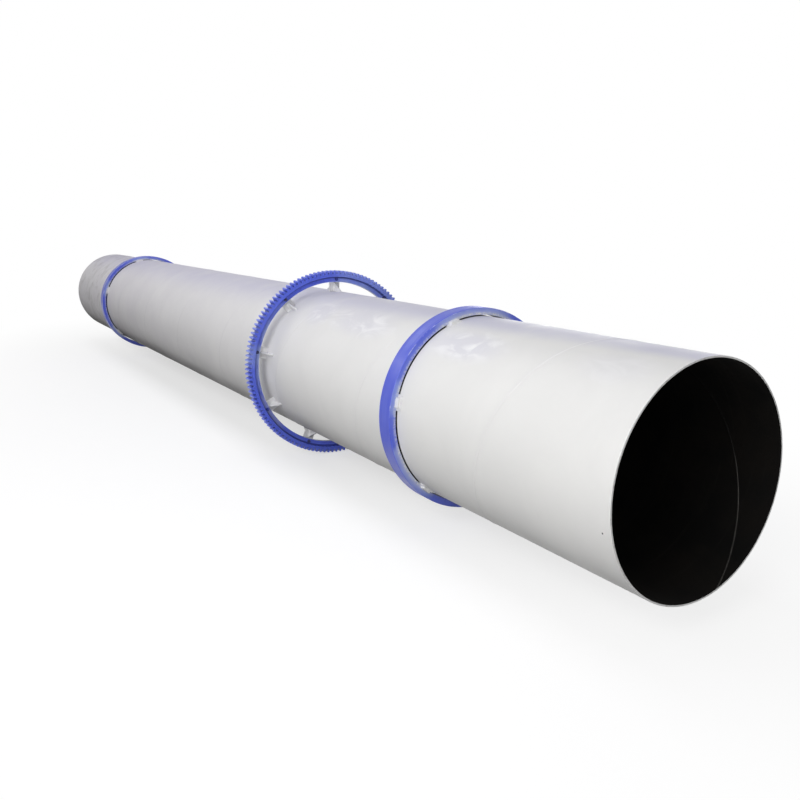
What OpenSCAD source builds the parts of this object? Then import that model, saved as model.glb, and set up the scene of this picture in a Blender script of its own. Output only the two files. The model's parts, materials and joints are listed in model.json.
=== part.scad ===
// Drum of a rotary drum cooler: a spiral-welded shell open at both ends, two riding rings
// that roll on the trunnion wheels, and a spur girth gear stood off the shell on brackets.
// The drum axis is X, with +X towards the feed opening. The origin lies on the axis,
// in the middle plane of the near riding ring. Millimetres.

/* [Shell] */
// Length of the shell, end to end
shell_length = 12000; // [9000:100:15000]
// Inside diameter of the shell
shell_bore = 1200; // [900:10:1500]
// Thickness of the shell plate
shell_wall = 10; // [6:1:16]

/* [Riding rings] */
// Distance from the near end of the shell to the middle of the near riding ring
near_ring_from_end = 1870; // [1200:10:2600]
// Distance between the middles of the two riding rings
ring_spacing = 8090; // [5500:10:10000]
// Width of a riding ring along the drum
ring_width = 125; // [80:5:180]
// Thickness of a riding ring from its bore to its track
ring_depth = 46; // [30:2:80]
// Chamfer on the edges of a riding ring's track
ring_chamfer = 3; // [1:1:8]
// Space between the shell and the bore of a riding ring
ring_gap = 8; // [5:1:24]

/* [Ring pads] */
// Number of filler pads under each riding ring
pad_count = 6; // [4:1:12]
// Angle of the near ring's first pad from the top of the drum
near_pad_phase = 17.5; // [0:0.5:45]
// Angle of the far ring's first pad from the top of the drum
far_pad_phase = 10; // [0:0.5:45]
// Width of a pad around the shell
pad_width = 90; // [60:5:140]
// Length of pad that stands out past each side of the ring
pad_overhang = 40; // [30:5:80]
// Width of a retaining block around the shell
stop_width = 60; // [30:5:90]
// Height of a retaining block above the bore of the ring
stop_height = 14; // [5:1:20]
// Length of pad left for the weld past a retaining block
weld_land = 4; // [2:1:12]
// Running clearance at the ring's bore
bore_clearance = 0.3; // [0.2:0.1:2]
// Clearance between a retaining block and the side of the ring
side_clearance = 0.8; // [0.3:0.1:3]

/* [Girth gear] */
// Gear module
gear_module = 12; // [8:1:16]
// Pressure angle of the teeth
pressure_angle = 20; // [14.5:0.5:25]
// Face width of the teeth
gear_width = 90; // [70:5:140]
// Thickness of the rim below the tooth roots
rim_depth = 24; // [16:2:40]
// Distance from the near ring's middle to the gear's middle
gear_from_ring = 2015; // [1000:5:3500]
// Space between the shell and the bore of the bolting flange
flange_standoff = 80; // [60:5:140]
// Radial depth of the bolting flange inside the rim
flange_depth = 45; // [30:1:60]
// Thickness of the bolting flange
flange_thickness = 30; // [16:2:40]

/* [Gear brackets] */
// Number of brackets around the shell
bracket_count = 9; // [6:1:12]
// Angle of the first bracket from the top of the drum
bracket_phase = 36.5; // [0:0.5:40]
// Width of a bracket plate around the shell
plate_width = 90; // [60:5:130]
// Thickness of a bracket plate
plate_thickness = 16; // [8:1:24]
// Thickness of a bracket rib
rib_thickness = 10; // [6:1:20]
// Length of a rib's foot on the shell
rib_length = 115; // [90:5:180]
// Diameter of the bolt hole in flange and plate
bolt_hole = 17.5; // [13:0.5:22]

/* [Hidden] */
function numbered(name, count) = [for (i = [1:count]) str(name, "_", i)];

$fn = 180;
// A cutting solid runs this far past the surface it cuts
over = 5;

near_end_x = near_ring_from_end;
far_end_x = near_end_x - shell_length;
shell_radius = shell_bore / 2 + shell_wall;

ring_bore_radius = shell_radius + ring_gap;
ring_radius = ring_bore_radius + ring_depth;

pad_length = ring_width + 2 * pad_overhang;
stop_length = pad_overhang - side_clearance - weld_land;

gear_x = -gear_from_ring;
// Dedendum, the depth of a tooth space below the pitch circle
dedendum = 1.25 * gear_module;
// The gear takes the number of teeth that puts its flange bore at its standoff from the shell
gear_teeth = round(
    2 * (shell_radius + flange_standoff + flange_depth + rim_depth + dedendum) / gear_module
);
pitch_radius = gear_module * gear_teeth / 2;
tip_radius = pitch_radius + gear_module;
root_radius = pitch_radius - dedendum;
base_radius = pitch_radius * cos(pressure_angle);
rim_bore_radius = root_radius - rim_depth;
flange_bore_radius = rim_bore_radius - flange_depth;
bolt_circle_radius = rim_bore_radius - flange_depth / 2;
// Points on each side of a tooth, from root to tip
flank_points = 4;

// A bracket plate bears on the far face of the flange and clears the rim
plate_rim_clearance = 4;
plate_face_x = gear_x - flange_thickness / 2;
plate_radius = sqrt(pow(rim_bore_radius - plate_rim_clearance, 2) - pow(plate_width / 2, 2));
// The ribs pass through the bore of the flange
rib_flange_clearance = 7;
rib_radius = flange_bore_radius - rib_flange_clearance;
// Height of the square nose at the foot of a rib
rib_nose = 12;

shell_paint = [0.84, 0.84, 0.83];
blue_paint = [0.25, 0.33, 0.76];
bracket_paint = [0.88, 0.88, 0.87];

// Lays a solid that was drawn along Z on the drum axis, starting at x
module along_axis(x) {
    translate([x, 0, 0]) rotate([0, 90, 0]) children();
}

// Turns a piece drawn at the top of the drum around the axis
module around_drum(angle) {
    rotate([angle, 0, 0]) children();
}

module tube(outer_radius, inner_radius, length) {
    difference() {
        cylinder(r = outer_radius, h = length);
        translate([0, 0, -over]) cylinder(r = inner_radius, h = length + 2 * over);
    }
}

// The shell is one tube, open at both ends
module drum_shell() {
    color(shell_paint)
        along_axis(far_end_x) tube(shell_radius, shell_bore / 2, shell_length);
}

// A riding ring is one revolved section with its track edges chamfered
module riding_ring(x) {
    half = ring_width / 2;
    section = [
        [ring_bore_radius, -half],
        [ring_radius - ring_chamfer, -half],
        [ring_radius, -half + ring_chamfer],
        [ring_radius, half - ring_chamfer],
        [ring_radius - ring_chamfer, half],
        [ring_bore_radius, half]
    ];
    color(blue_paint) along_axis(x) rotate_extrude() polygon(section);
}

// A curved bar between two radii, as wide as width, standing at the top of the drum
module curved_bar(outer_radius, inner_radius, width, length) {
    intersection() {
        along_axis(-length / 2) tube(outer_radius, inner_radius, length);
        translate([-length / 2 - over, -width / 2, 0])
            cube([length + 2 * over, width, outer_radius + over]);
    }
}

// A filler pad on the shell under a ring, with a retaining block at each side of the ring
module ring_pad(x, angle) {
    pad_radius = ring_bore_radius - bore_clearance;
    stop_radius = ring_bore_radius + stop_height;
    stop_middle = ring_width / 2 + side_clearance + stop_length / 2;
    color(bracket_paint)
        translate([x, 0, 0])
            around_drum(angle)
                union() {
                    curved_bar(pad_radius, shell_radius, pad_width, pad_length);
                    for (side = [-1, 1])
                        translate([side * stop_middle, 0, 0])
                            curved_bar(stop_radius, shell_radius, stop_width, stop_length);
                }
}

function pad_angle(phase, number) = phase + (number - 1) * 360 / pad_count;

// The involute's polar angle at a radius, in degrees
function involute_angle(r) =
    let (slope = acos(min(1, base_radius / r)))
    tan(slope) * 180 / PI - slope;

// Half of a tooth's angular thickness at a radius
function half_tooth(r) =
    90 / gear_teeth + involute_angle(pitch_radius) - involute_angle(r);

function polar(r, angle) = [r * cos(angle), r * sin(angle)];

flank_radii = [
    for (i = [0:flank_points - 1])
        root_radius + (tip_radius - root_radius) * i / (flank_points - 1)
];

// The outline of one tooth, up one flank and down the other
function tooth_outline(middle) = concat(
    [for (i = [0:flank_points - 1])
        polar(flank_radii[i], middle - half_tooth(flank_radii[i]))],
    [for (i = [flank_points - 1:-1:0])
        polar(flank_radii[i], middle + half_tooth(flank_radii[i]))]
);

function gear_outline() = [
    for (tooth = [0:gear_teeth - 1]) each tooth_outline(tooth * 360 / gear_teeth)
];

// Bolt hole through flange and bracket plate, at the top of the drum
module bolt_hole_cut(length) {
    translate([0, 0, bolt_circle_radius])
        along_axis(-length / 2) cylinder(d = bolt_hole, h = length, $fn = 32);
}

function bracket_angle(number) = bracket_phase + (number - 1) * 360 / bracket_count;

// Spur gear rim with a bolting flange set back inside it on both sides
module girth_gear() {
    recess = (gear_width - flange_thickness) / 2;
    color(blue_paint)
        translate([gear_x, 0, 0])
            difference() {
                along_axis(-gear_width / 2)
                    linear_extrude(height = gear_width) polygon(gear_outline());
                along_axis(-gear_width / 2 - over)
                    cylinder(r = flange_bore_radius, h = gear_width + 2 * over);
                for (start = [-gear_width / 2 - over, flange_thickness / 2])
                    along_axis(start) cylinder(r = rim_bore_radius, h = recess + over);
                for (number = [1:bracket_count])
                    around_drum(bracket_angle(number)) bolt_hole_cut(flange_thickness + 2 * over);
            }
}

// A triangular rib that stands along the drum, with its tall edge at the plate
module rib_profile() {
    polygon([
        [0, shell_radius - over],
        [rib_length, shell_radius - over],
        [rib_length, shell_radius + rib_nose],
        [0, rib_radius]
    ]);
}

module rib() {
    rotate([90, 0, 0])
        translate([0, 0, -rib_thickness / 2])
            linear_extrude(height = rib_thickness) rib_profile();
}

// A plate welded across the shell and bolted to the flange, with a rib on each side
module gear_bracket(number) {
    color(bracket_paint)
        around_drum(bracket_angle(number))
            translate([plate_face_x, 0, 0])
                difference() {
                    union() {
                        translate([-plate_thickness, -plate_width / 2, shell_radius - 2 * over])
                            cube([plate_thickness, plate_width,
                                  plate_radius - shell_radius + 2 * over]);
                        rib();
                        translate([-plate_thickness, 0, 0]) mirror([1, 0, 0]) rib();
                    }
                    along_axis(-rib_length - plate_thickness - over)
                        cylinder(r = shell_radius, h = 2 * rib_length + plate_thickness + 2 * over);
                    bolt_hole_cut(3 * plate_thickness);
                }
}

drum_shell();
riding_ring(0);  // near_riding_ring
riding_ring(-ring_spacing);  // far_riding_ring
for (i = [1:pad_count])
    ring_pad(0, pad_angle(near_pad_phase, i));
for (i = [1:pad_count])
    ring_pad(-ring_spacing, pad_angle(far_pad_phase, i));
girth_gear();
for (i = [1:bracket_count])
    gear_bracket(i);
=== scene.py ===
"""Looks, weld beads, bolts, light and camera for the drum of a rotary drum cooler.

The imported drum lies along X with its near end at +X. Everything is in metres, in the
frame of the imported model. Places come from the boxes of its nodes and the sizes named below.
"""

import json
import math
from functools import cached_property

import bpy
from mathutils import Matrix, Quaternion, Vector


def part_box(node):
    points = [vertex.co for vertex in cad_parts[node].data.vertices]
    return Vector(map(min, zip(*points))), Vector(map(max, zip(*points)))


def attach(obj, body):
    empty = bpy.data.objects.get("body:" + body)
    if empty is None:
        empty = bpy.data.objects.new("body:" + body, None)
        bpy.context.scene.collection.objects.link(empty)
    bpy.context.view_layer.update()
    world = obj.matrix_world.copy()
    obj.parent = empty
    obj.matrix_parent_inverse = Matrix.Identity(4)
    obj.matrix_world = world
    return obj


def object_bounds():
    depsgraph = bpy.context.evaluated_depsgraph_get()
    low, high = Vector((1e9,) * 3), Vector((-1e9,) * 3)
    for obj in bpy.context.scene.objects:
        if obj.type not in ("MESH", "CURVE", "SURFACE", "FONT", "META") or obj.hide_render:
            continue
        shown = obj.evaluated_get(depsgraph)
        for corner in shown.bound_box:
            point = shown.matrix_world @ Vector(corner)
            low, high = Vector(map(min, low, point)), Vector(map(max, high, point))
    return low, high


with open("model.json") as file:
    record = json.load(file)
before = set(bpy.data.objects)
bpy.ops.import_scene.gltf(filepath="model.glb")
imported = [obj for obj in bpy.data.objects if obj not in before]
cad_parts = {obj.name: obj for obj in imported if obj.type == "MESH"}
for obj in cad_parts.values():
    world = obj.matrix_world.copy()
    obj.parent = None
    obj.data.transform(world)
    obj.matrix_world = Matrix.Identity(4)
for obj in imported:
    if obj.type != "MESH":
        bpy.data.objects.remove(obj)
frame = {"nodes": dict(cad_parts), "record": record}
cad_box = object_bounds()

# ---------------------------------------------------------------- sizes from the frame

SHELL_LOW, SHELL_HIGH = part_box("drum_shell")
NEAR_END, FAR_END = SHELL_HIGH.x, SHELL_LOW.x
SHELL_RADIUS = SHELL_HIGH.z
SHELL_BORE_RADIUS = next(
    mount["dims"]["r_mm"] / 1000
    for mount in frame["record"]["mounts"]
    if mount["name"] == "near_end_bore"
)
NEAR_RING_LOW, NEAR_RING_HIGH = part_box("near_riding_ring")
FAR_RING_LOW, FAR_RING_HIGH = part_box("far_riding_ring")
RING_RADIUS = NEAR_RING_HIGH.z
GEAR_LOW, GEAR_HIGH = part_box("girth_gear")
GEAR_MIDDLE = (GEAR_LOW.x + GEAR_HIGH.x) / 2
GEAR_RADIUS = GEAR_HIGH.z

BRACKETS = sorted(name for name in frame["nodes"] if name.startswith("gear_bracket_"))
RING_PADS = sorted(name for name in frame["nodes"] if "_ring_pad_" in name)

# Sizes that no box gives; all but the bolt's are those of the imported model
GEAR_MODULE = 0.012
RIM_BORE_RADIUS = 0.735
FLANGE_BORE_RADIUS = 0.690
FLANGE_THICKNESS = 0.030
PLATE_THICKNESS = 0.016
PLATE_WIDTH = 0.090
RIB_THICKNESS = 0.010
RIB_LENGTH = 0.115
RIB_TOP_RADIUS = 0.683
BOLT_CIRCLE_RADIUS = 0.7125
BOLT_RADIUS = 0.008
PAD_WIDTH = 0.090
PAD_TOP_RADIUS = 0.6177
STOP_WIDTH = 0.060
WELD_LAND = 0.004
RING_BORE_RADIUS = 0.618
RING_CHAMFER = 0.003

# Patches of painted highlight, the reflection of long lamps overhead: place along the drum,
# angle from the top, reach along the drum, and how plainly they show
HIGHLIGHT_PATCHES = (
    (-1.50, math.radians(34), 0.22, 0.9),
    (-0.85, math.radians(34), 0.50, 0.8),
    (0.42, math.radians(33), 0.36, 1.0),
    (1.55, math.radians(26), 0.25, 0.3),
)
HIGHLIGHT_HALF_ANGLE = math.radians(13)

# The shell is wound from strip, so its seam is a helix that advances one pitch a turn
SEAM_PITCH = 1.370
SEAM_START = 1.240  # where the seam crosses the top of the drum nearest the near end
# Its bead outside and inside, and how deep the bead's edges are sunk
OUTER_BEAD_WIDTH, OUTER_BEAD_HEIGHT = 0.016, 0.0018
INNER_BEAD_WIDTH, INNER_BEAD_HEIGHT = 0.009, 0.0022
SEAM_SINK = 0.0003

# Fillet welds: their leg, the spacing of their ripples, and how far off a ring they start
WELD_LEG = 0.007
RIPPLE_PITCH = 0.0075
WELD_OFF_RING = 0.002
# The chamfer on a washer's edge
EDGE_BREAK = 0.0004


def angle_of(node):
    """The angle of a node's middle from the top of the drum, towards -Y."""
    low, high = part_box(node)
    middle = (low + high) / 2
    return math.atan2(-middle.y, middle.z)


def pads_of(ring):
    """The names of the pads under a riding ring."""
    return [name for name in RING_PADS if name.startswith(ring.split("_")[0])]


def on_drum(x, radius, angle):
    """The point at x and radius, at that angle from the top towards -Y."""
    return Vector((x, -radius * math.sin(angle), radius * math.cos(angle)))


def outward(angle):
    """The way straight out from the axis."""
    return Vector((0, -math.sin(angle), math.cos(angle)))


def around(angle):
    """The way round the drum in which the angle grows."""
    return Vector((0, -math.cos(angle), -math.sin(angle)))


ALONG = Vector((1, 0, 0))
# The chip in the paint by the mouth
CHIP_PLACE = on_drum(NEAR_END - 0.056, SHELL_RADIUS, math.radians(102))
CHIP_RADIUS = 0.005


# ---------------------------------------------------------------- node materials


class Paint:
    """A principled material, with short calls for the nodes that feed it.

    A value passed to a call is either a number or the socket of another node.
    """

    def __init__(self, name, **constants):
        self.material = bpy.data.materials.new(name)
        self.material.use_nodes = True
        self.tree = self.material.node_tree
        self.shader = self.tree.nodes["Principled BSDF"]
        for socket, value in constants.items():
            self.shader.inputs[socket.replace("_", " ")].default_value = value
        self.place = self.node("ShaderNodeTexCoord").outputs["Object"]

    def node(self, kind, **settings):
        node = self.tree.nodes.new(kind)
        for name, value in settings.items():
            setattr(node, name, value)
        return node

    def feed(self, socket, value):
        """Links a socket to its source, or sets its number or colour."""
        if isinstance(value, bpy.types.NodeSocket):
            self.tree.links.new(value, socket)
        elif isinstance(value, (tuple, list)) and len(value) == 3 and socket.type == "RGBA":
            socket.default_value = (*value, 1)
        else:
            socket.default_value = value

    def math(self, operation, *values, clamp=False):
        node = self.node("ShaderNodeMath", operation=operation, use_clamp=clamp)
        for socket, value in zip(node.inputs, values):
            self.feed(socket, value)
        return node.outputs[0]

    @cached_property
    def axes(self):
        """The x, y and z of the place in space."""
        node = self.node("ShaderNodeSeparateXYZ")
        self.feed(node.inputs[0], self.place)
        return node.outputs

    @cached_property
    def radius(self):
        """The distance from the drum's axis."""
        _, y, z = self.axes
        return self.length(y, z)

    @cached_property
    def angle(self):
        """The angle from the top of the drum towards -Y, in radians."""
        _, y, z = self.axes
        return self.math("ARCTAN2", self.math("MULTIPLY", y, -1.0), z)

    def length(self, first, second):
        """The length of the vector with these two coordinates."""
        return self.math("SQRT", self.math("ADD", self.product(first, first),
                                           self.product(second, second)))

    def stretched(self, scale):
        """The place in space, scaled by a number for each axis."""
        node = self.node("ShaderNodeMapping")
        self.feed(node.inputs["Vector"], self.place)
        node.inputs["Scale"].default_value = scale
        return node.outputs[0]

    def noise(self, scale, detail=3.0, roughness=0.5, distortion=0.0, vector=None):
        node = self.node("ShaderNodeTexNoise")
        self.feed(node.inputs["Vector"], vector or self.place)
        node.inputs["Scale"].default_value = scale
        node.inputs["Detail"].default_value = detail
        node.inputs["Roughness"].default_value = roughness
        node.inputs["Distortion"].default_value = distortion
        return node.outputs["Fac"]

    def ramp(self, value, low, high, to_low=0.0, to_high=1.0, smooth=True):
        """Maps low..high to to_low..to_high, clamped at both ends."""
        node = self.node("ShaderNodeMapRange",
                         interpolation_type="SMOOTHSTEP" if smooth else "LINEAR")
        for socket, number in zip(node.inputs, (value, low, high, to_low, to_high)):
            self.feed(socket, number)
        return node.outputs[0]

    def mix(self, share, first, second):
        """A colour between first and second."""
        node = self.node("ShaderNodeMix", data_type="RGBA")
        self.feed(node.inputs["Factor"], share)
        self.feed(node.inputs["A"], first)
        self.feed(node.inputs["B"], second)
        return node.outputs["Result"]

    def product(self, *values):
        result = values[0]
        for value in values[1:]:
            result = self.math("MULTIPLY", result, value)
        return result

    def band(self, value, middle, half_width, edge):
        """One inside middle +- half_width, fading to nothing over edge."""
        off = self.math("ABSOLUTE", self.math("SUBTRACT", value, middle))
        return self.ramp(off, half_width, half_width + edge, 1.0, 0.0)

    def arc_band(self, middle, half_width, edge):
        """The band of angles from the top of the drum, given in degrees."""
        return self.band(self.angle, math.radians(middle), math.radians(half_width),
                         math.radians(edge))

    def bump(self, height, distance, strength, under=None):
        node = self.node("ShaderNodeBump")
        node.inputs["Strength"].default_value = strength
        node.inputs["Distance"].default_value = distance
        self.feed(node.inputs["Height"], height)
        if under is not None:
            self.feed(node.inputs["Normal"], under)
        return node.outputs[0]

    def finish(self, colour, roughness, normal):
        self.feed(self.shader.inputs["Base Color"], colour)
        self.feed(self.shader.inputs["Roughness"], roughness)
        self.feed(self.shader.inputs["Normal"], normal)
        return self.material


# Paint on the shell, the pads and the brackets
WHITE = (0.760, 0.756, 0.742)
FADED_WHITE = (0.69, 0.688, 0.68)
HIGHLIGHT_WHITE = (0.90, 0.90, 0.90)
EDGE_WHITE = (0.88, 0.88, 0.87)
BEAD_HIGHLIGHT_WHITE = (0.86, 0.86, 0.855)
PLATE_WHITE = (0.80, 0.80, 0.795)
PLATE_GREY = (0.68, 0.68, 0.675)
REFLECTION_LILAC = (0.600, 0.595, 0.700)
# Blue paint on the rings and the gear
BLUE = (0.066, 0.100, 0.700)
CLEAR_BLUE = (0.100, 0.142, 0.740)
GEAR_BLUE = (0.13, 0.20, 0.80)
DEEP_BLUE = (0.036, 0.058, 0.420)
RECESS_SHADE_BLUE = (0.010, 0.016, 0.120)
MILKY_BLUE = (0.20, 0.26, 0.70)
PALE_BLUE = (0.36, 0.45, 0.78)
ARRIS_HIGHLIGHT_BLUE = (0.62, 0.66, 0.86)
BORE_BLUE = (0.62, 0.66, 0.78)
# Dirt, and the painted shade of the underside
DUSTY = (0.56, 0.520, 0.600)
UNDERSIDE_SHADE = (0.22, 0.21, 0.205)
UNDERSIDE_DEEP_SHADE = (0.055, 0.053, 0.052)
FLANGE_DIRT = (0.40, 0.42, 0.46)
THIN_BROWN = (0.33, 0.315, 0.30)
# Bare steel, mill scale made near black as painted shade, and shadowed gaps
BARE_STEEL = (0.38, 0.37, 0.36)
DARK_STEEL = (0.035, 0.035, 0.042)
BOLT_STEEL = (0.09, 0.10, 0.15)
WELD_STEEL = (0.070, 0.067, 0.062)
WELD_DARK = (0.030, 0.028, 0.026)
SCALE_AND_SHADE_BLACK = (0.0022, 0.0021, 0.0020)
SCALE_BROWN = (0.0075, 0.0070, 0.0060)
SCALE_RUST = (0.0060, 0.0050, 0.0042)
SCALE_RINGS = (0.0095, 0.0085, 0.0075)
GAP_SHADE_BLACK = (0.008, 0.008, 0.010)


def dust(paint):
    """Dust grows towards the far end and lies in soft patches."""
    x, _, _ = paint.axes
    far = paint.ramp(x, NEAR_END - 2.0, FAR_RING_HIGH.x, 0.0, 0.80, smooth=False)
    patches = paint.noise(1.6, detail=4, roughness=0.6, distortion=0.4)
    return paint.math("MULTIPLY", far, paint.ramp(patches, 0.25, 0.75, 0.55, 1.0), clamp=True)


def shade_streaks(paint):
    """Streaks round the drum that break up the painted shade of the underside."""
    return paint.noise(1.0, detail=5, roughness=0.65, distortion=0.3,
                       vector=paint.stretched((3.0, 1.2, 1.2)))


def reflection_patches(paint):
    """Painted highlight: plainness in the middle of each patch, fading to nothing round it."""
    x, _, _ = paint.axes
    patches = 0.0
    for place, middle, reach, plainness in HIGHLIGHT_PATCHES:
        along = paint.math("DIVIDE", paint.math("SUBTRACT", x, place), reach)
        across = paint.math("DIVIDE", paint.math("SUBTRACT", paint.angle, middle), HIGHLIGHT_HALF_ANGLE)
        off = paint.length(along, across)
        patches = paint.math("MAXIMUM", patches, paint.ramp(off, 0.30, 1.25, plainness, 0.0))
    return patches


def highlight_streaks(paint, patches):
    """Painted highlight streaks within the patches."""
    streak_noise = paint.noise(1.0, detail=3, roughness=0.55, distortion=1.4,
                        vector=paint.stretched((3.4, 7.0, 7.0)))
    return paint.product(paint.ramp(streak_noise, 0.42, 0.68), patches)


def shell_coat(paint, mottle, patches, streak_highlight):
    """The off-white paint itself, with painted reflections: a cool lilac tint on top, and highlight
    streaks.
    """
    x, _, _ = paint.axes
    colour = paint.mix(paint.ramp(mottle, 0.3, 0.7, 0.0, 0.35), WHITE, FADED_WHITE)
    # Painted reflection: the top is tinted cool lilac, over a wider band towards the far end
    reach = paint.ramp(x, NEAR_END, NEAR_END - 5.0, math.radians(14), math.radians(50),
                       smooth=False)
    share = paint.math("DIVIDE", paint.math("ABSOLUTE", paint.angle), reach)
    top = paint.ramp(share, 0.3, 1.0, 0.9, 0.0)
    reflected_tint = paint.product(top, paint.ramp(mottle, 0.2, 0.6, 0.6, 1.0))
    colour = paint.mix(reflected_tint, colour, REFLECTION_LILAC)
    # Painted reflection: a lilac ground in the patches, then the painted highlight streaks on it
    colour = paint.mix(paint.product(patches, 0.42), colour, REFLECTION_LILAC)
    return paint.mix(paint.product(streak_highlight, 0.80), colour, HIGHLIGHT_WHITE)


def dust_and_underside_shade(paint, colour, dusty):
    """Dust, and painted shade that darkens the underside in streaks, more towards the far end."""
    x, _, z = paint.axes
    colour = paint.mix(paint.product(dusty, 0.56), colour, DUSTY)
    # Painted shade: darker towards the bottom, in streaks, and more so towards the far end
    low = paint.ramp(z, -0.15 * SHELL_RADIUS, -0.80 * SHELL_RADIUS)
    along = paint.ramp(x, 0.0, GEAR_MIDDLE - 4.0, 0.06, 0.85, smooth=False)
    darkening = paint.product(low, along, paint.ramp(shade_streaks(paint), 0.30, 0.75, 0.75, 1.0))
    colour = paint.mix(darkening, colour, UNDERSIDE_SHADE)
    lowest_shade = paint.ramp(z, -0.42 * SHELL_RADIUS, -0.72 * SHELL_RADIUS)
    return paint.mix(paint.product(lowest_shade, along), colour, UNDERSIDE_DEEP_SHADE)


def shell_seam(paint, colour):
    """Dust beside the helical seam, and a painted highlight along its bead on top."""
    x, _, z = paint.axes
    # Distance from the seam along the axis, in pitches, from -0.5 to 0.5
    turns = paint.math("DIVIDE", paint.angle, 2 * math.pi)
    advance = paint.math("DIVIDE", paint.math("SUBTRACT", x, SEAM_START), SEAM_PITCH)
    strip = paint.math("ADD", advance, turns)
    offset = paint.math("SUBTRACT", strip, paint.math("ROUND", strip))
    seam = paint.ramp(paint.math("ABSOLUTE", offset), 0.008, 0.030, 1.0, 0.0)
    colour = paint.mix(paint.product(seam, 0.03), colour, DUSTY)
    # Painted highlight on the bead, near the top of the drum and on its near half only
    bead = paint.ramp(paint.radius, SHELL_RADIUS + 0.0004, SHELL_RADIUS + 0.0014, 0.0, 0.45)
    above = paint.ramp(z, 0.70 * SHELL_RADIUS, 0.92 * SHELL_RADIUS)
    bead_highlight = paint.product(bead, above, paint.ramp(x, 0.0, 0.5))
    return paint.mix(bead_highlight, colour, BEAD_HIGHLIGHT_WHITE)


def shell_bare_places(paint, colour):
    """Where the paint is thin, missing, chipped or worn."""
    x, _, _ = paint.axes
    # Far of the second ring the paint is thin, with brown patches
    behind = paint.math("LESS_THAN", x, FAR_RING_LOW.x)
    cloud = paint.noise(5.5, detail=5, roughness=0.65, distortion=0.6)
    brown = paint.ramp(cloud, 0.45, 0.68, 0.0, 0.30)
    colour = paint.mix(paint.product(behind, brown), colour, THIN_BROWN)
    # Painted shade: the shell under the rings is black, and beside the far ring too
    for low, high, bare_past in ((NEAR_RING_LOW, NEAR_RING_HIGH, 0.001),
                                 (FAR_RING_LOW, FAR_RING_HIGH, 0.020)):
        half_width = (high.x - low.x) / 2
        under = paint.band(x, (low.x + high.x) / 2, half_width + bare_past, 0.008)
        colour = paint.mix(under, colour, GAP_SHADE_BLACK)
    # A chip by the mouth
    chip = paint.node("ShaderNodeVectorMath", operation="DISTANCE")
    paint.feed(chip.inputs[0], paint.place)
    chip.inputs[1].default_value = CHIP_PLACE
    chipped = paint.ramp(chip.outputs["Value"], CHIP_RADIUS - 0.001, CHIP_RADIUS + 0.001, 1.0, 0.0)
    colour = paint.mix(chipped, colour, DARK_STEEL)
    # The cut edge of the mouth: thick paint, worn to the steel here and there
    edge = paint.ramp(x, NEAR_END - 0.0012, NEAR_END - 0.0004)
    colour = paint.mix(edge, colour, EDGE_WHITE)
    worn = paint.product(edge, paint.ramp(paint.noise(22.0, detail=4), 0.54, 0.66), 0.5)
    return paint.mix(worn, colour, BARE_STEEL)


def shell_paint():
    """Off-white paint outside, with dust, painted shade below and painted highlight streaks; mill
    scale inside.
    """
    paint = Paint("shell_off_white", Specular_IOR_Level=0.06)
    mottle = paint.noise(2.2, detail=6, roughness=0.6, distortion=0.5)
    patches = reflection_patches(paint)
    streak_highlight = highlight_streaks(paint, patches)
    dusty = dust(paint)

    colour = shell_coat(paint, mottle, patches, streak_highlight)
    colour = dust_and_underside_shade(paint, colour, dusty)
    colour = shell_seam(paint, colour)
    colour = shell_bare_places(paint, colour)
    # The wall's inner surface: mill scale, made near black as painted shade
    inside = paint.ramp(paint.radius, SHELL_BORE_RADIUS + 0.0005, SHELL_BORE_RADIUS + 0.002,
                        1.0, 0.0)
    rust = paint.ramp(paint.noise(5.0, detail=6), 0.3, 0.7)
    colour = paint.mix(inside, colour, paint.mix(rust, SCALE_AND_SHADE_BLACK, SCALE_BROWN))

    gloss = paint.ramp(mottle, 0.25, 0.75, 0.36, 0.50)
    gloss = paint.math("ADD", gloss, paint.product(dusty, 0.22))
    gloss = paint.math("SUBTRACT", gloss, paint.product(streak_highlight, 0.12))
    gloss = paint.math("MAXIMUM", gloss, paint.product(inside, 0.9))

    dents = paint.bump(paint.noise(1.1, detail=2, distortion=0.3), 0.030, 0.35)
    orange_peel = paint.bump(paint.noise(120.0, detail=2), 0.0006, 0.30, under=dents)
    return paint.finish(colour, gloss, orange_peel)


def blue_paint(name, sides):
    """Satin blue paint. sides adds what belongs to one node, and gets (paint, colour)."""
    paint = Paint(name, Specular_IOR_Level=0.42)
    cloud = paint.noise(4.0, detail=5, roughness=0.6, distortion=0.6)
    colour = paint.mix(paint.ramp(cloud, 0.3, 0.75), BLUE, CLEAR_BLUE)
    thin = paint.noise(1.0, detail=5, roughness=0.7,
                       vector=paint.stretched((90.0, 5.0, 5.0)))
    colour = paint.mix(paint.ramp(thin, 0.55, 0.75, 0.0, 0.45), colour, DEEP_BLUE)
    colour = sides(paint, colour)
    colour = paint.mix(paint.product(dust(paint), 0.04), colour, DUSTY)
    gloss = paint.ramp(paint.noise(7.0, detail=4), 0.3, 0.7, 0.30, 0.46)
    flow = paint.bump(paint.noise(14.0, detail=3), 0.004, 0.25)
    grain = paint.bump(paint.noise(260.0, detail=2), 0.0004, 0.35, under=flow)
    return paint.finish(colour, gloss, grain)


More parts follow.
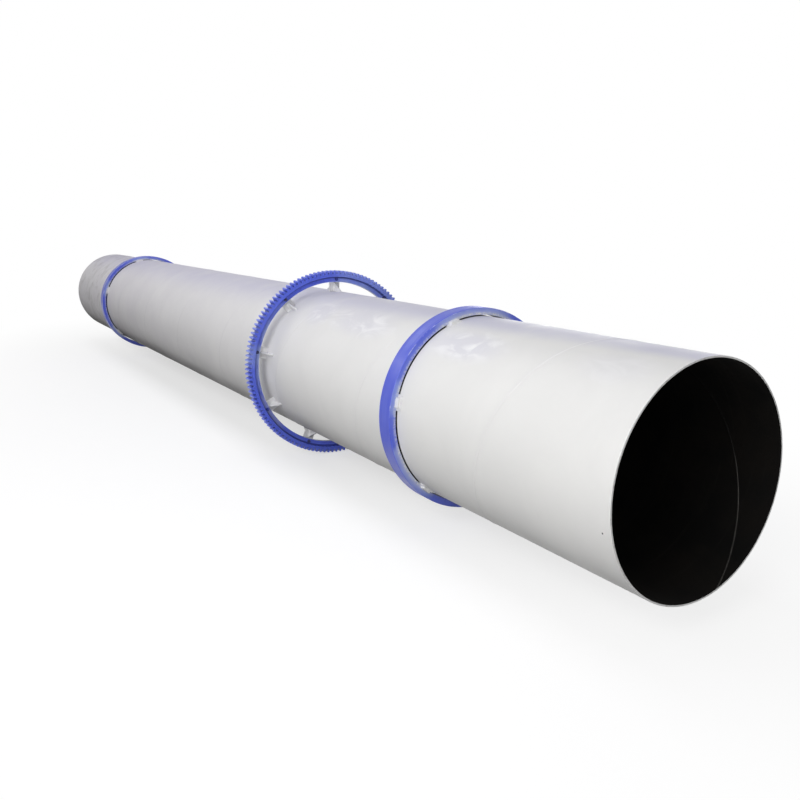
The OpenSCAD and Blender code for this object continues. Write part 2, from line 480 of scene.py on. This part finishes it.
def track_marks(paint, colour, off_middle, half_width, track_shade):
    """The track is painted deeper as shade; its middle is dulled, and its margins keep the fresh
    colour.
    """
    track = paint.math("GREATER_THAN", paint.radius, RING_RADIUS - 0.001)
    dulled = paint.ramp(off_middle, 0.30 * half_width, 0.55 * half_width, 1.0, 0.0)
    patchy = paint.ramp(paint.noise(3.0, detail=4, distortion=0.6), 0.40, 0.7, 0.3, 1.0)
    # Painted reflection: the dulled middle is paler near the top of the drum
    upper_reflection = paint.arc_band(20, 22, 14)
    share = paint.ramp(upper_reflection, 0.0, 1.0, 0.10, 0.32)
    # Painted shade deepens the whole track
    colour = paint.mix(paint.product(track, track_shade), colour, DEEP_BLUE)
    return paint.mix(paint.product(track, dulled, patchy, share), colour, MILKY_BLUE)


def side_overspray(paint, colour, on_side, sector, haze, swung):
    """White from the pads, drifted over the side beside them and in two broad swings."""
    _, _, z = paint.axes
    near_bore = paint.ramp(paint.radius, RING_BORE_RADIUS, RING_RADIUS, 1.0, 0.50)
    beside = paint.band(sector, math.radians(-2.0), math.radians(6.0), math.radians(8.0))
    over_top = paint.arc_band(2, 20, 12)
    under = paint.arc_band(121, 14, 6)
    swings = paint.product(paint.math("MAXIMUM", over_top, under), swung)
    cloud = paint.noise(9.0, detail=4, roughness=0.6, distortion=0.5)
    cloud = paint.ramp(cloud, 0.25, 0.70, 0.75, 1.0)
    reach = paint.math("MAXIMUM", paint.math("MAXIMUM", beside, swings), haze)
    drift = paint.product(reach, cloud)
    colour = paint.mix(paint.product(on_side, near_bore, drift, 0.95), colour, PALE_BLUE)
    colour = paint.mix(paint.product(on_side, near_bore, swings, cloud, 0.26), colour, WHITE)
    # Specks close to the bore, down to where the gun didn't reach
    speckle = paint.ramp(paint.noise(60.0, detail=4, roughness=0.8), 0.42, 0.60, 0.2, 1.0)
    inner = paint.ramp(paint.radius, RING_BORE_RADIUS + 0.006, RING_BORE_RADIUS + 0.024, 1.0, 0.0)
    reached = paint.ramp(z, -0.80 * RING_RADIUS, -0.72 * RING_RADIUS, 0.1, 1.0)
    splash = paint.ramp(drift, 0.15, 0.75, 0.55, 1.0, smooth=False)
    return paint.mix(paint.product(on_side, inner, splash, speckle, reached), colour, WHITE)


def ring_paint(node, haze, swung, track_shade):
    """Rolling track with long marks, and white overspray on the sides next to the shell.

    haze is how much of the overspray lies between the pads, and swung how much of it came
    in the two broad swings. track_shade is how much the track is painted deeper as shade.
    """
    low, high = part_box(node)
    middle, half_width = (low.x + high.x) / 2, (high.x - low.x) / 2
    pads = pads_of(node)
    first_pad, pad_pitch = angle_of(pads[0]), 2 * math.pi / len(pads)

    def sides(paint, colour):
        x, _, _ = paint.axes
        off_middle = paint.math("ABSOLUTE", paint.math("SUBTRACT", x, middle))
        on_side = paint.ramp(off_middle, half_width - 0.0015, half_width - 0.0005)
        # The angle from the nearest pad
        turn = paint.math("DIVIDE", paint.math("SUBTRACT", paint.angle, first_pad), pad_pitch)
        sector = paint.product(paint.math("SUBTRACT", turn, paint.math("ROUND", turn)), pad_pitch)
        colour = track_marks(paint, colour, off_middle, half_width, track_shade)
        colour = side_overspray(paint, colour, on_side, sector, haze, swung)
        # Painted highlight along the arris between track and side, broken up
        arris = paint.band(paint.radius, RING_RADIUS - RING_CHAMFER, 0.0012, 0.0016)
        highlight_breaks = paint.ramp(paint.noise(7.0, detail=5, roughness=0.7), 0.52, 0.64)
        colour = paint.mix(paint.product(arris, highlight_breaks, 0.80), colour, ARRIS_HIGHLIGHT_BLUE)
        # Painted shade: the unpainted bore is black
        bore = paint.ramp(paint.radius, RING_BORE_RADIUS + 0.0002, RING_BORE_RADIUS + 0.001,
                          1.0, 0.0)
        hidden = paint.ramp(off_middle, half_width - 0.003, half_width - 0.001, 1.0, 0.0)
        return paint.mix(paint.product(bore, hidden), colour, GAP_SHADE_BLACK)

    return blue_paint(f"{node}_blue", sides)


def tooth_shade_and_highlight(paint, colour):
    """The tooth spaces are painted dark as shade, and the tips get a painted highlight."""
    x, _, _ = paint.axes
    # A tooth is 2.25 modules deep
    teeth = paint.math("GREATER_THAN", paint.radius, GEAR_RADIUS - 2.26 * GEAR_MODULE)
    deep = paint.ramp(paint.radius, GEAR_RADIUS - 2.3 * GEAR_MODULE,
                      GEAR_RADIUS - 0.5 * GEAR_MODULE, 1.0, 0.0)
    off_middle = paint.math("ABSOLUTE", paint.math("SUBTRACT", x, GEAR_MIDDLE))
    half_width = GEAR_HIGH.x - GEAR_MIDDLE
    within = paint.ramp(off_middle, half_width - 0.0015, half_width - 0.0004, 1.0, 0.0)
    # Painted shade in the tooth spaces
    colour = paint.mix(paint.product(deep, teeth, within, 0.92), colour, RECESS_SHADE_BLUE)
    # Painted highlight on the tooth tips
    tip_highlight = paint.ramp(paint.radius, GEAR_RADIUS - 0.0025, GEAR_RADIUS - 0.0005)
    return paint.mix(paint.product(tip_highlight, 0.45), colour, PALE_BLUE)


def flange_coat(paint, colour, patch):
    """The flange inside the rim: overspray from the brackets, dirt, and painted shade in the
    corner.
    """
    inner = paint.ramp(paint.radius, FLANGE_BORE_RADIUS, RIM_BORE_RADIUS, 1.0, 0.0)
    drift = paint.ramp(paint.noise(3.2, detail=4, distortion=0.5), 0.46, 0.64, 0.0, 0.8)
    drift = paint.math("MAXIMUM", drift, paint.product(patch, 0.9))
    colour = paint.mix(paint.product(inner, drift), colour, PALE_BLUE)
    # Grey dirt low on the flange
    soiled = paint.arc_band(119, 9, 9)
    facing = paint.math("LESS_THAN", paint.radius, RIM_BORE_RADIUS)
    colour = paint.mix(paint.product(soiled, facing, 0.42), colour, FLANGE_DIRT)
    # Painted shade, with some dirt, in the corner between the flange and the rim
    corner = paint.band(paint.radius, RIM_BORE_RADIUS - 0.005, 0.004, 0.008)
    inside_rim = paint.math("LESS_THAN", paint.radius, RIM_BORE_RADIUS - 0.0002)
    colour = paint.mix(paint.product(corner, inside_rim, 0.75), colour, RECESS_SHADE_BLUE)
    bore = paint.ramp(paint.radius, FLANGE_BORE_RADIUS + 0.0005, FLANGE_BORE_RADIUS + 0.003,
                      1.0, 0.0)
    return paint.mix(paint.product(bore, 0.85), colour, BORE_BLUE)


def gear_paint():
    """The gear's brighter blue, with a pale veil where the white gun swung past the top."""

    def sides(paint, colour):
        colour = tooth_shade_and_highlight(paint, colour)
        veil = paint.arc_band(-30, 20, 12)
        patch = paint.arc_band(79, 3, 7)
        colour = paint.mix(0.30, colour, GEAR_BLUE)
        pale = paint.product(paint.math("MAXIMUM", veil, patch), 0.34)
        colour = paint.mix(pale, colour, PALE_BLUE)
        return flange_coat(paint, colour, patch)

    return blue_paint("girth_gear_blue", sides)


def plate_paint(name, ripple=0.0):
    """Off-white brushed on small parts, with grime in the corners at the shell."""
    paint = Paint(name, Specular_IOR_Level=0.35)
    mottle = paint.noise(11.0, detail=5, roughness=0.6)
    colour = paint.mix(paint.ramp(mottle, 0.3, 0.7, 0.0, 0.6), PLATE_WHITE, PLATE_GREY)
    foot = paint.ramp(paint.radius, SHELL_RADIUS + 0.002, SHELL_RADIUS + 0.020, 1.0, 0.0)
    dirt = paint.product(foot, paint.ramp(paint.noise(24.0, detail=5), 0.35, 0.7))
    colour = paint.mix(paint.product(dirt, 0.4), colour, DUSTY)
    colour = paint.mix(paint.product(dust(paint), 0.5), colour, DUSTY)
    gloss = paint.ramp(mottle, 0.3, 0.7, 0.40, 0.55)
    brush = paint.bump(paint.noise(40.0, detail=3), 0.002, 0.3 + ripple)
    return paint.finish(colour, gloss, brush)


def bare_weld():
    """The inner bead: bare weld metal, painted black as shade towards the top."""
    paint = Paint("inner_weld_bead", Specular_IOR_Level=0.10)
    _, _, z = paint.axes
    film = paint.noise(6.0, detail=5, roughness=0.6)
    colour = paint.mix(paint.ramp(film, 0.3, 0.7), WELD_STEEL, WELD_DARK)
    # Painted shade: near black and less metallic towards the top, where no light reaches
    top_shade = paint.ramp(z, -0.45 * SHELL_RADIUS, 0.22 * SHELL_RADIUS)
    colour = paint.mix(top_shade, colour, SCALE_AND_SHADE_BLACK)
    metal = paint.math("SUBTRACT", 0.4, paint.product(top_shade, 0.4))
    paint.feed(paint.shader.inputs["Metallic"], metal)
    gloss = paint.ramp(film, 0.3, 0.7, 0.40, 0.60)
    return paint.finish(colour, gloss, paint.bump(paint.noise(90.0, detail=2), 0.002, 0.5))


def mill_scale():
    """The dark unpainted bore: dull scale, brown where it has begun to rust, near black as painted
    shade.
    """
    paint = Paint("bore_mill_scale", Specular_IOR_Level=0.10)
    patches = paint.noise(4.0, detail=6, roughness=0.6)
    colour = paint.mix(paint.ramp(patches, 0.35, 0.70), SCALE_AND_SHADE_BLACK, SCALE_RUST)
    rings = paint.noise(1.0, detail=3, vector=paint.stretched((30.0, 1.5, 1.5)))
    colour = paint.mix(paint.ramp(rings, 0.55, 0.75, 0.0, 0.6), colour, SCALE_RINGS)
    gloss = paint.ramp(patches, 0.3, 0.7, 0.70, 0.90)
    return paint.finish(colour, gloss, paint.bump(paint.noise(50.0, detail=3), 0.002, 0.3))


def bolt_paint():
    """Bolts and nuts: black steel that the gear's blue has partly covered."""
    paint = Paint("bolt_blue_on_black", Specular_IOR_Level=0.35)
    wear = paint.noise(60.0, detail=4, roughness=0.7)
    colour = paint.mix(paint.ramp(wear, 0.5, 0.7), DARK_STEEL, BOLT_STEEL)
    covered = paint.ramp(paint.noise(1.7, detail=2), 0.45, 0.60, 0.15, 0.80)
    colour = paint.mix(covered, colour, DEEP_BLUE)
    gloss = paint.ramp(wear, 0.3, 0.7, 0.35, 0.60)
    return paint.finish(colour, gloss, paint.bump(paint.noise(300.0, detail=2), 0.0005, 0.4))


# ---------------------------------------------------------------- added pieces


class Shape:
    """Gathers vertices and faces, and becomes one piece that rides on the drum."""

    def __init__(self):
        self.points, self.faces = [], []

    def rings(self, rings, looped=False):
        """Joins closed rings of equally many points with quads.

        The last ring joins the first if looped, else the two ends are capped.
        """
        start, size, count = len(self.points), len(rings[0]), len(rings)
        faces = []
        for ring in rings:
            self.points += ring
        for i in range(count if looped else count - 1):
            here, there = start + i * size, start + (i + 1) % count * size
            for j in range(size):
                k = (j + 1) % size
                faces.append((here + j, here + k, there + k, there + j))
        if not looped:
            last = start + (count - 1) * size
            faces.append(tuple(range(start + size - 1, start - 1, -1)))
            faces.append(tuple(range(last, last + size)))
        if self.enclosed(faces) < 0:
            faces = [face[::-1] for face in faces]
        self.faces += faces

    def enclosed(self, faces):
        """Six times the volume inside the faces, below zero if they are inside out."""
        origin, total = self.points[faces[0][0]], 0.0
        for face in faces:
            first, *others = (self.points[index] - origin for index in face)
            for second, third in zip(others, others[1:]):
                total += first.dot(second.cross(third))
        return total

    def piece(self, name, material, slot, smooth=True):
        """Makes the gathered faces one object that rides on the drum."""
        mesh = bpy.data.meshes.new(name)
        mesh.from_pydata(self.points, [], self.faces)
        mesh.materials.append(material)
        mesh.validate()
        if smooth:
            mesh.polygons.foreach_set("use_smooth", [True] * len(mesh.polygons))
            mesh.set_sharp_from_angle(angle=math.radians(55))
        piece = bpy.data.objects.new(name, mesh)
        bpy.context.scene.collection.objects.link(piece)
        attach(piece, "root")
        return piece


def seam_bead(radius, width, height, name, material, slot, step=math.radians(2.5)):
    """The helical weld bead on a surface of the shell; height below zero stands inwards."""
    shape, rings = Shape(), []
    angle = (SEAM_START - NEAR_END) / SEAM_PITCH * 2 * math.pi
    last_angle = (SEAM_START - FAR_END) / SEAM_PITCH * 2 * math.pi
    # Each ring lies across the bead, square to the helix
    tilt = math.atan(SEAM_PITCH / (2 * math.pi * radius))
    while angle <= last_angle:
        x = SEAM_START - SEAM_PITCH * angle / (2 * math.pi)
        ring = []
        for k in range(7):
            side = k / 3 - 1
            across = side * width / 2
            ring_x = min(max(x + across * math.cos(tilt), FAR_END), NEAR_END)
            ring_angle = angle + across * math.sin(tilt) / radius
            # The two edges are sunk into the shell
            rise = height * (1 - side * side)
            if abs(side) == 1:
                rise = -math.copysign(SEAM_SINK, height)
            ring.append(on_drum(ring_x, radius + rise, ring_angle))
        rings.append(ring)
        angle += step
    shape.rings(rings)
    return shape.piece(name, material, slot)


def scale_lining(thickness=0.0004, sides=192, courses=40):
    """The skin of mill scale on the shell's bore, as a thin closed tube, near black as painted
    shade.
    """
    shape, wall = Shape(), []
    # It stops short of the two ends, and its outer face lies just inside the bore
    inset, gap = 0.0010, 0.0001
    length = NEAR_END - FAR_END - 2 * inset
    places = [FAR_END + inset + length * k / courses for k in range(courses + 1)]
    inner = [(x, SHELL_BORE_RADIUS - thickness) for x in places]
    outer = [(x, SHELL_BORE_RADIUS - gap) for x in reversed(places)]
    for x, radius in inner + outer:
        wall.append([on_drum(x, radius, 2 * math.pi * k / sides) for k in range(sides)])
    shape.rings(wall, looped=True)
    return shape.piece("bore_scale", mill_scale(), "shell_paint")


def fillet(shape, path, first, second, leg, step=0.0022):
    """A rippled fillet weld along a path of points, thinner at its two ends.

    first and second are unit vectors along the two surfaces, away from the corner.
    """
    lengths = [0.0]
    for here, there in zip(path, path[1:]):
        lengths.append(lengths[-1] + (there - here).length)
    count = max(2, round(lengths[-1] / step))
    rings = []
    for i in range(count + 1):
        distance = lengths[-1] * i / count
        k = max(j for j in range(len(path) - 1) if lengths[j] <= distance + 1e-9)
        share = (distance - lengths[k]) / (lengths[k + 1] - lengths[k])
        corner = path[k].lerp(path[k + 1], share)
        end = min(distance, lengths[-1] - distance)
        swell = min(1.0, 0.35 + end / leg * 0.65)
        ripple = 1.0 + 0.10 * math.sin(distance * 2 * math.pi / RIPPLE_PITCH)
        # The weld's face bulges a little past the straight line between its two toes
        size = leg * swell * ripple
        crown, flank = size * 0.62, size * 0.837
        rings.append([
            corner + first * size,
            corner + (first * 0.80 + second * 0.32) * flank,
            corner + (first + second) * crown,
            corner + (first * 0.32 + second * 0.80) * flank,
            corner + second * size,
            corner,
        ])
    shape.rings(rings)


def arc(x, radius, start, end, count=8):
    """Points round the drum at one place along it."""
    return [on_drum(x, radius, start + (end - start) * i / count) for i in range(count + 1)]


def bracket_welds(leg=WELD_LEG):
    """Fillets where each bracket's plate and ribs stand on the shell and on each other."""
    shape = Shape()
    near_face = GEAR_MIDDLE - FLANGE_THICKNESS / 2
    far_face = near_face - PLATE_THICKNESS
    half_plate = math.asin(PLATE_WIDTH / 2 / SHELL_RADIUS)
    half_rib = math.asin(RIB_THICKNESS / 2 / SHELL_RADIUS)
    foot = SHELL_RADIUS * math.cos(half_rib)
    for name in BRACKETS:
        middle = angle_of(name)
        up = outward(middle)
        for face, way in ((near_face, 1), (far_face, -1)):
            nose = face + way * RIB_LENGTH
            for side in (-1, 1):
                # Plate to shell, from rib to plate edge
                path = arc(face, SHELL_RADIUS, middle + side * half_rib, middle + side * half_plate)
                fillet(shape, path, ALONG * way, up, leg)
                # Rib to shell
                corner = middle + side * half_rib
                away = around(middle) * side
                path = [on_drum(face, SHELL_RADIUS, corner), on_drum(nose, SHELL_RADIUS, corner)]
                fillet(shape, path, away, up, leg)
                # Rib to plate
                beside = away * RIB_THICKNESS / 2
                path = [up * foot + beside + ALONG * face,
                        up * RIB_TOP_RADIUS + beside + ALONG * face]
                fillet(shape, path, away, ALONG * way, leg * 0.8)
            # The rib's nose
            path = arc(nose, SHELL_RADIUS, middle - half_rib, middle + half_rib, 2)
            fillet(shape, path, ALONG * way, up, leg)
    return shape


def pad_welds(ring, leg=WELD_LEG):
    """Fillets round each pad, and round the retaining blocks on it."""
    shape = Shape()
    ring_low, ring_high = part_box(ring)
    half_pad = math.asin(PAD_WIDTH / 2 / SHELL_RADIUS)
    half_stop = math.asin(STOP_WIDTH / 2 / PAD_TOP_RADIUS)
    for name in pads_of(ring):
        low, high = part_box(name)
        middle = angle_of(name)
        up = outward(middle)
        for end, way in ((low.x, -1), (high.x, 1)):
            path = arc(end, SHELL_RADIUS, middle - half_pad, middle + half_pad)
            fillet(shape, path, ALONG * way, up, leg)
        for side in (-1, 1):
            path = [on_drum(end, SHELL_RADIUS, middle + side * half_pad)
                    for end in (low.x, high.x)]
            fillet(shape, path, around(middle) * side, up, leg)
        for inner, end, way in ((ring_low.x, low.x, -1), (ring_high.x, high.x, 1)):
            outer = end - way * WELD_LAND
            path = arc(outer, PAD_TOP_RADIUS, middle - half_stop, middle + half_stop)
            fillet(shape, path, ALONG * way, up, WELD_LAND)
            for side in (-1, 1):
                path = [on_drum(x, PAD_TOP_RADIUS, middle + side * half_stop)
                        for x in (inner + way * WELD_OFF_RING, outer)]
                fillet(shape, path, around(middle) * side, up, leg * 0.8)
    return shape


def turned(shape, centre, axis, side_dir, profile, sides):
    """Revolves (distance, radius) pairs about axis, as a closed shape with flat ends."""
    third = axis.cross(side_dir)
    rings = []
    for distance, radius in profile:
        rings.append([
            centre + axis * distance + (side_dir * math.cos(a) + third * math.sin(a)) * radius
            for a in (2 * math.pi * k / sides for k in range(sides))
        ])
    shape.rings(rings)


def fastener(shape, place, axis, side_dir, washer_radius, washer, height, across_flats):
    """A washer with a bolt head or nut on it, standing out along axis."""
    turned(shape, place, axis, side_dir,
           [(0, washer_radius), (washer - EDGE_BREAK, washer_radius),
            (washer, washer_radius - EDGE_BREAK)], 24)
    # The hexagon's top is chamfered
    corner = across_flats / math.sqrt(3)
    turned(shape, place + axis * washer, axis, side_dir,
           [(0, corner), (height * 0.82, corner), (height, corner * 0.86)], 6)


def bolts():
    """A bolt through flange and plate at each bracket: head in front, nut behind."""
    shape = Shape()
    front = GEAR_MIDDLE + FLANGE_THICKNESS / 2
    back = GEAR_MIDDLE - FLANGE_THICKNESS / 2 - PLATE_THICKNESS
    thread_end = [(0.014, BOLT_RADIUS), (0.021, BOLT_RADIUS), (0.0225, 0.85 * BOLT_RADIUS)]
    for number, name in enumerate(BRACKETS):
        angle = angle_of(name)
        # No two hexagons stand alike
        turn = math.radians(17 * number)
        side_dir = outward(angle) * math.cos(turn) + around(angle) * math.sin(turn)
        head = on_drum(front, BOLT_CIRCLE_RADIUS, angle)
        fastener(shape, head, ALONG, side_dir, washer_radius=0.0138, washer=0.0024,
                 height=0.0085, across_flats=0.0225)
        nut = on_drum(back, BOLT_CIRCLE_RADIUS, angle)
        fastener(shape, nut, -ALONG, side_dir, washer_radius=0.0148, washer=0.0026,
                 height=0.013, across_flats=0.024)
        turned(shape, nut, -ALONG, side_dir, thread_end, 20)
    return shape


# ---------------------------------------------------------------- dress the drum


def assign(node, material):
    """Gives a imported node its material."""
    for material_slot in frame["nodes"][node].material_slots:
        material_slot.material = material


white = plate_paint("bracket_off_white")
shell_white = shell_paint()
assign("drum_shell", shell_white)
assign("near_riding_ring", ring_paint("near_riding_ring", haze=0.24, swung=1.0, track_shade=0.60))
assign("far_riding_ring", ring_paint("far_riding_ring", haze=0.04, swung=0.25, track_shade=0.95))
assign("girth_gear", gear_paint())
for name in BRACKETS + RING_PADS:
    assign(name, white)

bead_white = plate_paint("weld_off_white", ripple=0.3)
seam_bead(SHELL_RADIUS, OUTER_BEAD_WIDTH, OUTER_BEAD_HEIGHT,
          "outer_seam_bead", shell_white, "shell_paint")
seam_bead(SHELL_BORE_RADIUS, INNER_BEAD_WIDTH, -INNER_BEAD_HEIGHT,
          "inner_seam_bead", bare_weld(), "shell_paint")
scale_lining()
bracket_welds().piece("gear_bracket_welds", bead_white, "bracket_paint")
pad_welds("near_riding_ring").piece("near_ring_pad_welds", bead_white, "bracket_paint")
pad_welds("far_riding_ring").piece("far_ring_pad_welds", bead_white, "bracket_paint")
bolts().piece("gear_bolts", bolt_paint(), "bracket_paint", smooth=False)

# ---------------------------------------------------------------- floor, light, camera

CAMERA_PLACE = Vector((4.2262, -3.0429, 1.2888))
CAMERA_HEADING = math.radians(33.206)  # from -X towards +Y
CAMERA_DIP = math.radians(12.761)
CAMERA_ROLL = math.radians(-0.880)
CAMERA_LENS = 36.538  # millimetres, as the sensor is
CAMERA_SENSOR = 36.0
# The photograph is the left part of a wider one, so its middle isn't the lens's
CAMERA_SHIFT = (-0.045, -0.0106)

FLOOR_REACH = 60.0
FLOOR_DROP = 0.002  # how far the floor lies below the drum's lowest point
# The shadow shows within an ellipse on the floor, round this place along the drum
SHADOW_MIDDLE = -4.2
SHADOW_REACH_ALONG = 9.5
SHADOW_REACH_ACROSS = 4.0
# The visible white is part diffuse and part glow; what lights the drum is dull
FLOOR_WHITE, FLOOR_GLOW = (0.52, 0.52, 0.52, 1), 0.55
FLOOR_DULL = (0.10, 0.10, 0.102, 1)
# The world's strength as light on the drum, where the background shows as 1
AMBIENT = 0.17


def seen_plainly(tree):
    """One for what the camera, a mirror or glass sees, and nothing for light on the drum."""
    new, link = tree.nodes.new, tree.links.new
    path = new("ShaderNodeLightPath")
    mirrored = new("ShaderNodeMath")
    mirrored.operation = "MAXIMUM"
    link(path.outputs["Is Glossy Ray"], mirrored.inputs[0])
    link(path.outputs["Is Transmission Ray"], mirrored.inputs[1])
    seen = new("ShaderNodeMath")
    seen.operation = "MAXIMUM"
    link(path.outputs["Is Camera Ray"], seen.inputs[0])
    link(mirrored.outputs[0], seen.inputs[1])
    return seen.outputs[0]


def shadow_fade(tree):
    """Nothing in the middle of the shadow's ellipse, growing to one at its edge."""
    new, link = tree.nodes.new, tree.links.new
    place = new("ShaderNodeTexCoord")
    squeeze = new("ShaderNodeMapping")
    squeeze.inputs["Location"].default_value = (-SHADOW_MIDDLE / SHADOW_REACH_ALONG, 0, 0)
    squeeze.inputs["Scale"].default_value = (1 / SHADOW_REACH_ALONG, 1 / SHADOW_REACH_ACROSS, 0)
    link(place.outputs["Object"], squeeze.inputs["Vector"])
    length = new("ShaderNodeVectorMath")
    length.operation = "LENGTH"
    link(squeeze.outputs[0], length.inputs[0])
    fade = new("ShaderNodeMapRange")
    fade.interpolation_type = "SMOOTHSTEP"
    fade.inputs["From Min"].default_value = 0.25
    link(length.outputs["Value"], fade.inputs["Value"])
    return fade.outputs[0]


def floor_material():
    """Plain white to the camera with the drum's shadow on it, and dull to the light."""
    material = bpy.data.materials.new("floor_pale")
    material.use_nodes = True
    tree = material.node_tree
    tree.nodes.clear()
    new, link = tree.nodes.new, tree.links.new

    def diffuse(colour):
        shader = new("ShaderNodeBsdfDiffuse")
        shader.inputs["Color"].default_value = colour
        return shader.outputs[0]

    def glow(strength):
        shader = new("ShaderNodeEmission")
        shader.inputs["Strength"].default_value = strength
        return shader.outputs[0]

    def mixed(share, first, second):
        shader = new("ShaderNodeMixShader")
        for socket, source in zip(shader.inputs, (share, first, second)):
            link(source, socket)
        return shader.outputs[0]

    # Near the drum part of the white is diffuse, so that the shadow shows
    shadowed = new("ShaderNodeAddShader")
    link(diffuse(FLOOR_WHITE), shadowed.inputs[0])
    link(glow(FLOOR_GLOW), shadowed.inputs[1])
    visible = mixed(shadow_fade(tree), shadowed.outputs[0], glow(1.0))
    surface = mixed(seen_plainly(tree), diffuse(FLOOR_DULL), visible)
    link(surface, new("ShaderNodeOutputMaterial").inputs["Surface"])
    return material


def add_floor():
    """A wide floor just under the drum, as the stage."""
    corners = [(-1, -1), (1, -1), (1, 1), (-1, 1)]
    mesh = bpy.data.meshes.new("floor")
    mesh.from_pydata([(x * FLOOR_REACH, y * FLOOR_REACH, 0) for x, y in corners],
                     [], [(0, 1, 2, 3)])
    mesh.materials.append(floor_material())
    floor = bpy.data.objects.new("floor", mesh)
    floor.location.z = cad_box[0][2] - FLOOR_DROP
    bpy.context.scene.collection.objects.link(floor)


def add_world():
    """A white background that lights the drum far less than it shows."""
    world = bpy.data.worlds.new("studio")
    bpy.context.scene.world = world
    world.use_nodes = True
    tree = world.node_tree
    background = tree.nodes["Background"]
    background.inputs["Color"].default_value = (1, 1, 1, 1)
    strength = tree.nodes.new("ShaderNodeMapRange")
    strength.inputs["To Min"].default_value = AMBIENT
    tree.links.new(seen_plainly(tree), strength.inputs["Value"])
    tree.links.new(strength.outputs[0], background.inputs["Strength"])


def add_softbox(name, place, target, width, height, power, colour=(1, 1, 1)):
    """A rectangular lamp at place that faces target; power is in watts."""
    light = bpy.data.lights.new(name, "AREA")
    light.shape = "RECTANGLE"
    light.size, light.size_y = width, height
    light.energy, light.color = power, colour
    lamp = bpy.data.objects.new(name, light)
    lamp.location = place
    lamp.rotation_euler = (Vector(target) - Vector(place)).to_track_quat("-Z", "Y").to_euler()
    bpy.context.scene.collection.objects.link(lamp)


def add_camera():
    """The camera at the photograph's viewing angle."""
    heading = Vector((-math.cos(CAMERA_HEADING), math.sin(CAMERA_HEADING), 0))
    forward = heading * math.cos(CAMERA_DIP) - Vector((0, 0, math.sin(CAMERA_DIP)))
    camera = bpy.data.objects.new("camera", bpy.data.cameras.new("camera"))
    camera.data.lens = CAMERA_LENS
    camera.data.sensor_width = CAMERA_SENSOR
    camera.data.shift_x, camera.data.shift_y = CAMERA_SHIFT
    camera.data.clip_end = 200.0
    camera.location = CAMERA_PLACE
    level = forward.to_track_quat("-Z", "Y")
    camera.rotation_euler = (level @ Quaternion((0, 0, 1), CAMERA_ROLL)).to_euler()
    bpy.context.scene.collection.objects.link(camera)
    bpy.context.scene.camera = camera


add_floor()
add_world()
add_softbox("key", (3.0, -6.8, 4.4), (-0.5, 0.0, 0.0), 5.0, 3.0, 286)
add_softbox("low_front", (1.0, -5.8, 0.5), (-0.8, 0.0, 0.0), 8.0, 1.1, 96)
add_softbox("low_near", (3.2, -5.8, -0.1), (0.8, 0.0, -0.2), 4.0, 1.1, 42)
add_softbox("end_fill", (9.0, -2.5, 2.6), (0.0, 0.0, 0.0), 4.0, 3.0, 100)
add_softbox("long_overhead", (-4.0, -1.0, 6.5), (-4.0, 0.0, 0.0), 12.0, 3.0, 205,
            colour=(0.94, 0.94, 1.0))
add_softbox("long_side", (-5.5, -4.6, 5.4), (-5.5, 0.0, 0.0), 11.0, 2.0, 52,
            colour=(0.96, 0.965, 1.0))
add_softbox("far_side", (-9.0, -5.2, 4.6), (-8.5, 0.0, 0.0), 5.0, 2.0, 95)
add_softbox("back_fill", (-4.0, 8.0, 1.6), (-4.0, 0.0, 0.0), 14.0, 4.0, 330)
add_camera()
bpy.context.scene.view_settings.view_transform = "Standard"
